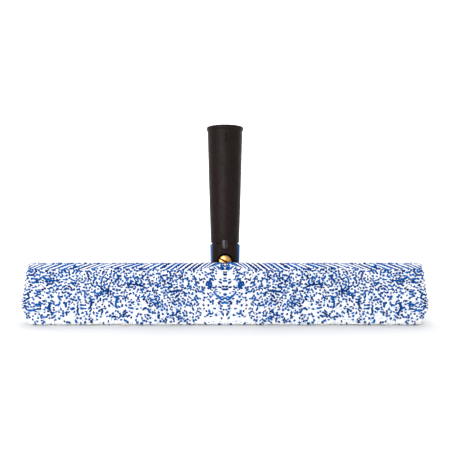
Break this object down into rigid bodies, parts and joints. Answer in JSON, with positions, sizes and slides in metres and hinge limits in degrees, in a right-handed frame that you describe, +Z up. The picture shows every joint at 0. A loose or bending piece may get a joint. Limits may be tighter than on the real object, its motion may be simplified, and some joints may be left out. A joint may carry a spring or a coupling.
{
  "type": "window cleaning squeegee",
  "caption": "Window cleaning tool with a blue and white pile washer sleeve in front, a rubber squeegee blade behind, and a swivel handle that takes a pole.",
  "frame": {"origin": "middle of the sleeve's flat underside, below the pivot's axis", "axes": "+X along the head, to the right when the sleeve faces the viewer; +Y from the sleeve to the blade; +Z up along the handle"},
  "size_m": [0.3604, 0.0655, 0.1789],
  "materials": {
    "blue_plastic": "satin moulded blue",
    "black_plastic": "matte moulded black",
    "grip_rubber": "matte warm black",
    "blade_rubber": "smooth black",
    "brass": "turned, slightly worn",
    "steel": "bright",
    "aluminium": "drawn satin",
    "nylon": "natural",
    "hook_tape": "woven hook tape",
    "sleeve_pile": "white pile flecked with royal blue"
  },
  "bodies": {
    "head": {"t_bar": "blue_plastic", "end_cap_left": "blue_plastic", "end_cap_right": "blue_plastic", "blade_carrier": "blue_plastic", "carrier_screw_1": "steel", "carrier_screw_2": "steel", "carrier_screw_3": "steel", "carrier_screw_4": "steel", "carrier_screw_5": "steel", "carrier_screw_6": "steel", "squeegee_channel": "aluminium", "squeegee_rubber": "blade_rubber", "channel_clip_left": "steel", "channel_clip_right": "steel", "hook_tape_top_left": "hook_tape", "hook_tape_top_right": "hook_tape", "hook_tape_bottom": "hook_tape", "washer_sleeve": "sleeve_pile", "pivot_bush": "brass"},
    "handle": {"handle_core": "black_plastic", "rubber_grip": "grip_rubber", "pivot_screw": "brass", "pivot_nut": "brass", "flat_washer": "brass", "spring_washer": "steel", "friction_washer_front": "nylon", "friction_washer_rear": "nylon"}
  },
  "joints": [
    {"name": "handle_swivel", "type": "hinge", "parent": "head", "child": "handle", "pos_m": [0, 0, 0.05636], "axis": [0, 1, 0], "range_deg": [-50, 50]}
  ]
}
